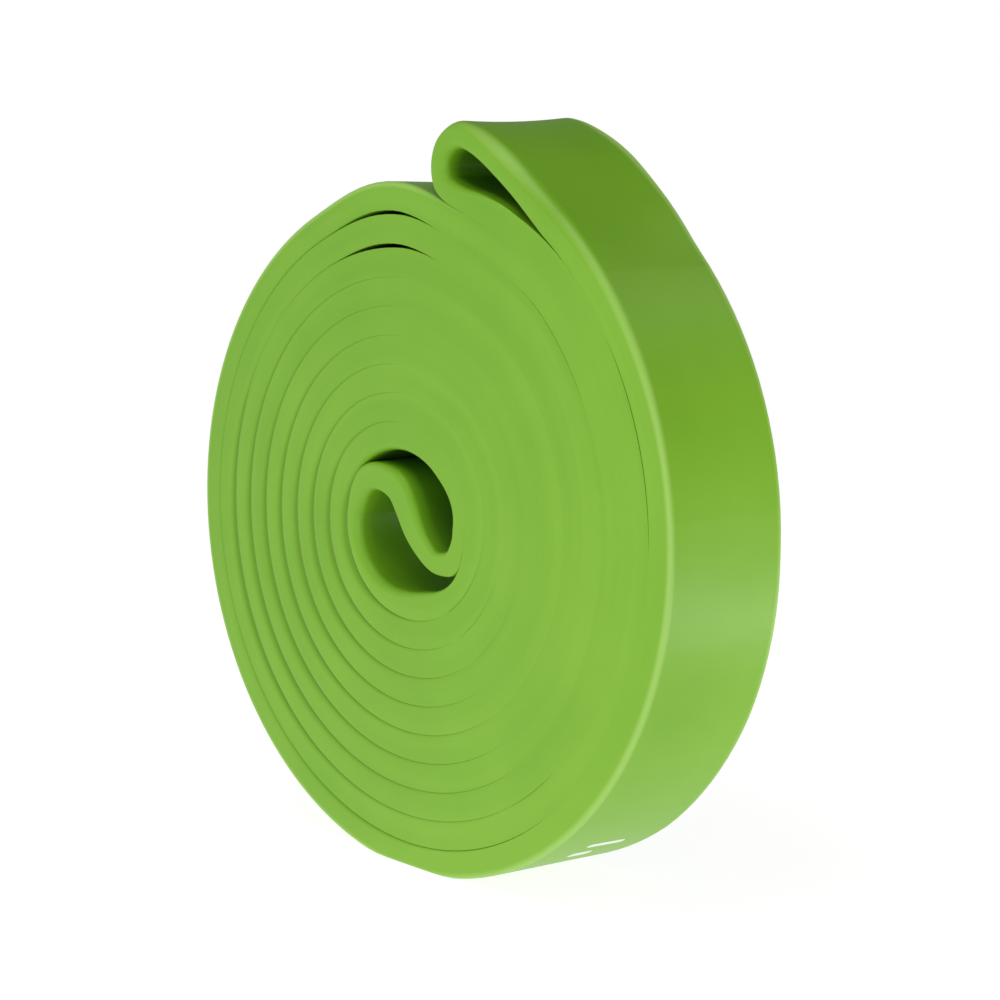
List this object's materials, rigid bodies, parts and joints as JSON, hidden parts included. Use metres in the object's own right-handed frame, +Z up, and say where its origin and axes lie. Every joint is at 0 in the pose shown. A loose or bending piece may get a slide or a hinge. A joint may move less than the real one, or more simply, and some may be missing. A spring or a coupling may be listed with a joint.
{
  "type": "resistance band",
  "caption": "Closed loop of flat layered latex for strength and rehabilitation exercise, folded flat and rolled up on edge, with its free fold lying on top of the roll.",
  "frame": {"origin": "on the surface that the roll stands on, under the middle of its bounding box", "axes": "+Z up, Y along the roll's axis and the band's width, +X to the side that the free end peels away from"},
  "size_m": [0.1128, 0.0218, 0.1143],
  "materials": {
    "latex": "satin, slightly waxy natural latex"
  },
  "bodies": {
    "roll": {"coil": "latex"},
    "tail_1": {"tail_1_outer": "latex", "tail_1_inner": "latex"},
    "tail_2": {"tail_2_outer": "latex", "tail_2_inner": "latex"},
    "tail_3": {"tail_3_outer": "latex", "tail_3_inner": "latex"},
    "tail_4": {"tail_4_outer": "latex", "tail_4_inner": "latex"},
    "free_end": {"end_fold": "latex"}
  },
  "joints": [
    {"name": "flex_1", "type": "hinge", "parent": "roll", "child": "tail_1", "pos_m": [0.04737, 0, 0.02528], "axis": [0, 1, 0], "range_deg": [0, 18], "stiffness_Nm_per_rad": 0.02},
    {"name": "flex_2", "type": "hinge", "parent": "tail_1", "child": "tail_2", "pos_m": [0.05468, 0, 0.04181], "axis": [0, 1, 0], "range_deg": [0, 18], "stiffness_Nm_per_rad": 0.02},
    {"name": "flex_3", "type": "hinge", "parent": "tail_2", "child": "tail_3", "pos_m": [0.05627, 0, 0.06004], "axis": [0, 1, 0], "range_deg": [0, 18], "stiffness_Nm_per_rad": 0.02},
    {"name": "flex_4", "type": "hinge", "parent": "tail_3", "child": "tail_4", "pos_m": [0.05176, 0, 0.07792], "axis": [0, 1, 0], "range_deg": [0, 18], "stiffness_Nm_per_rad": 0.02},
    {"name": "flex_5", "type": "hinge", "parent": "tail_4", "child": "free_end", "pos_m": [0.04169, 0, 0.09342], "axis": [0, 1, 0], "range_deg": [0, 18], "stiffness_Nm_per_rad": 0.02}
  ]
}
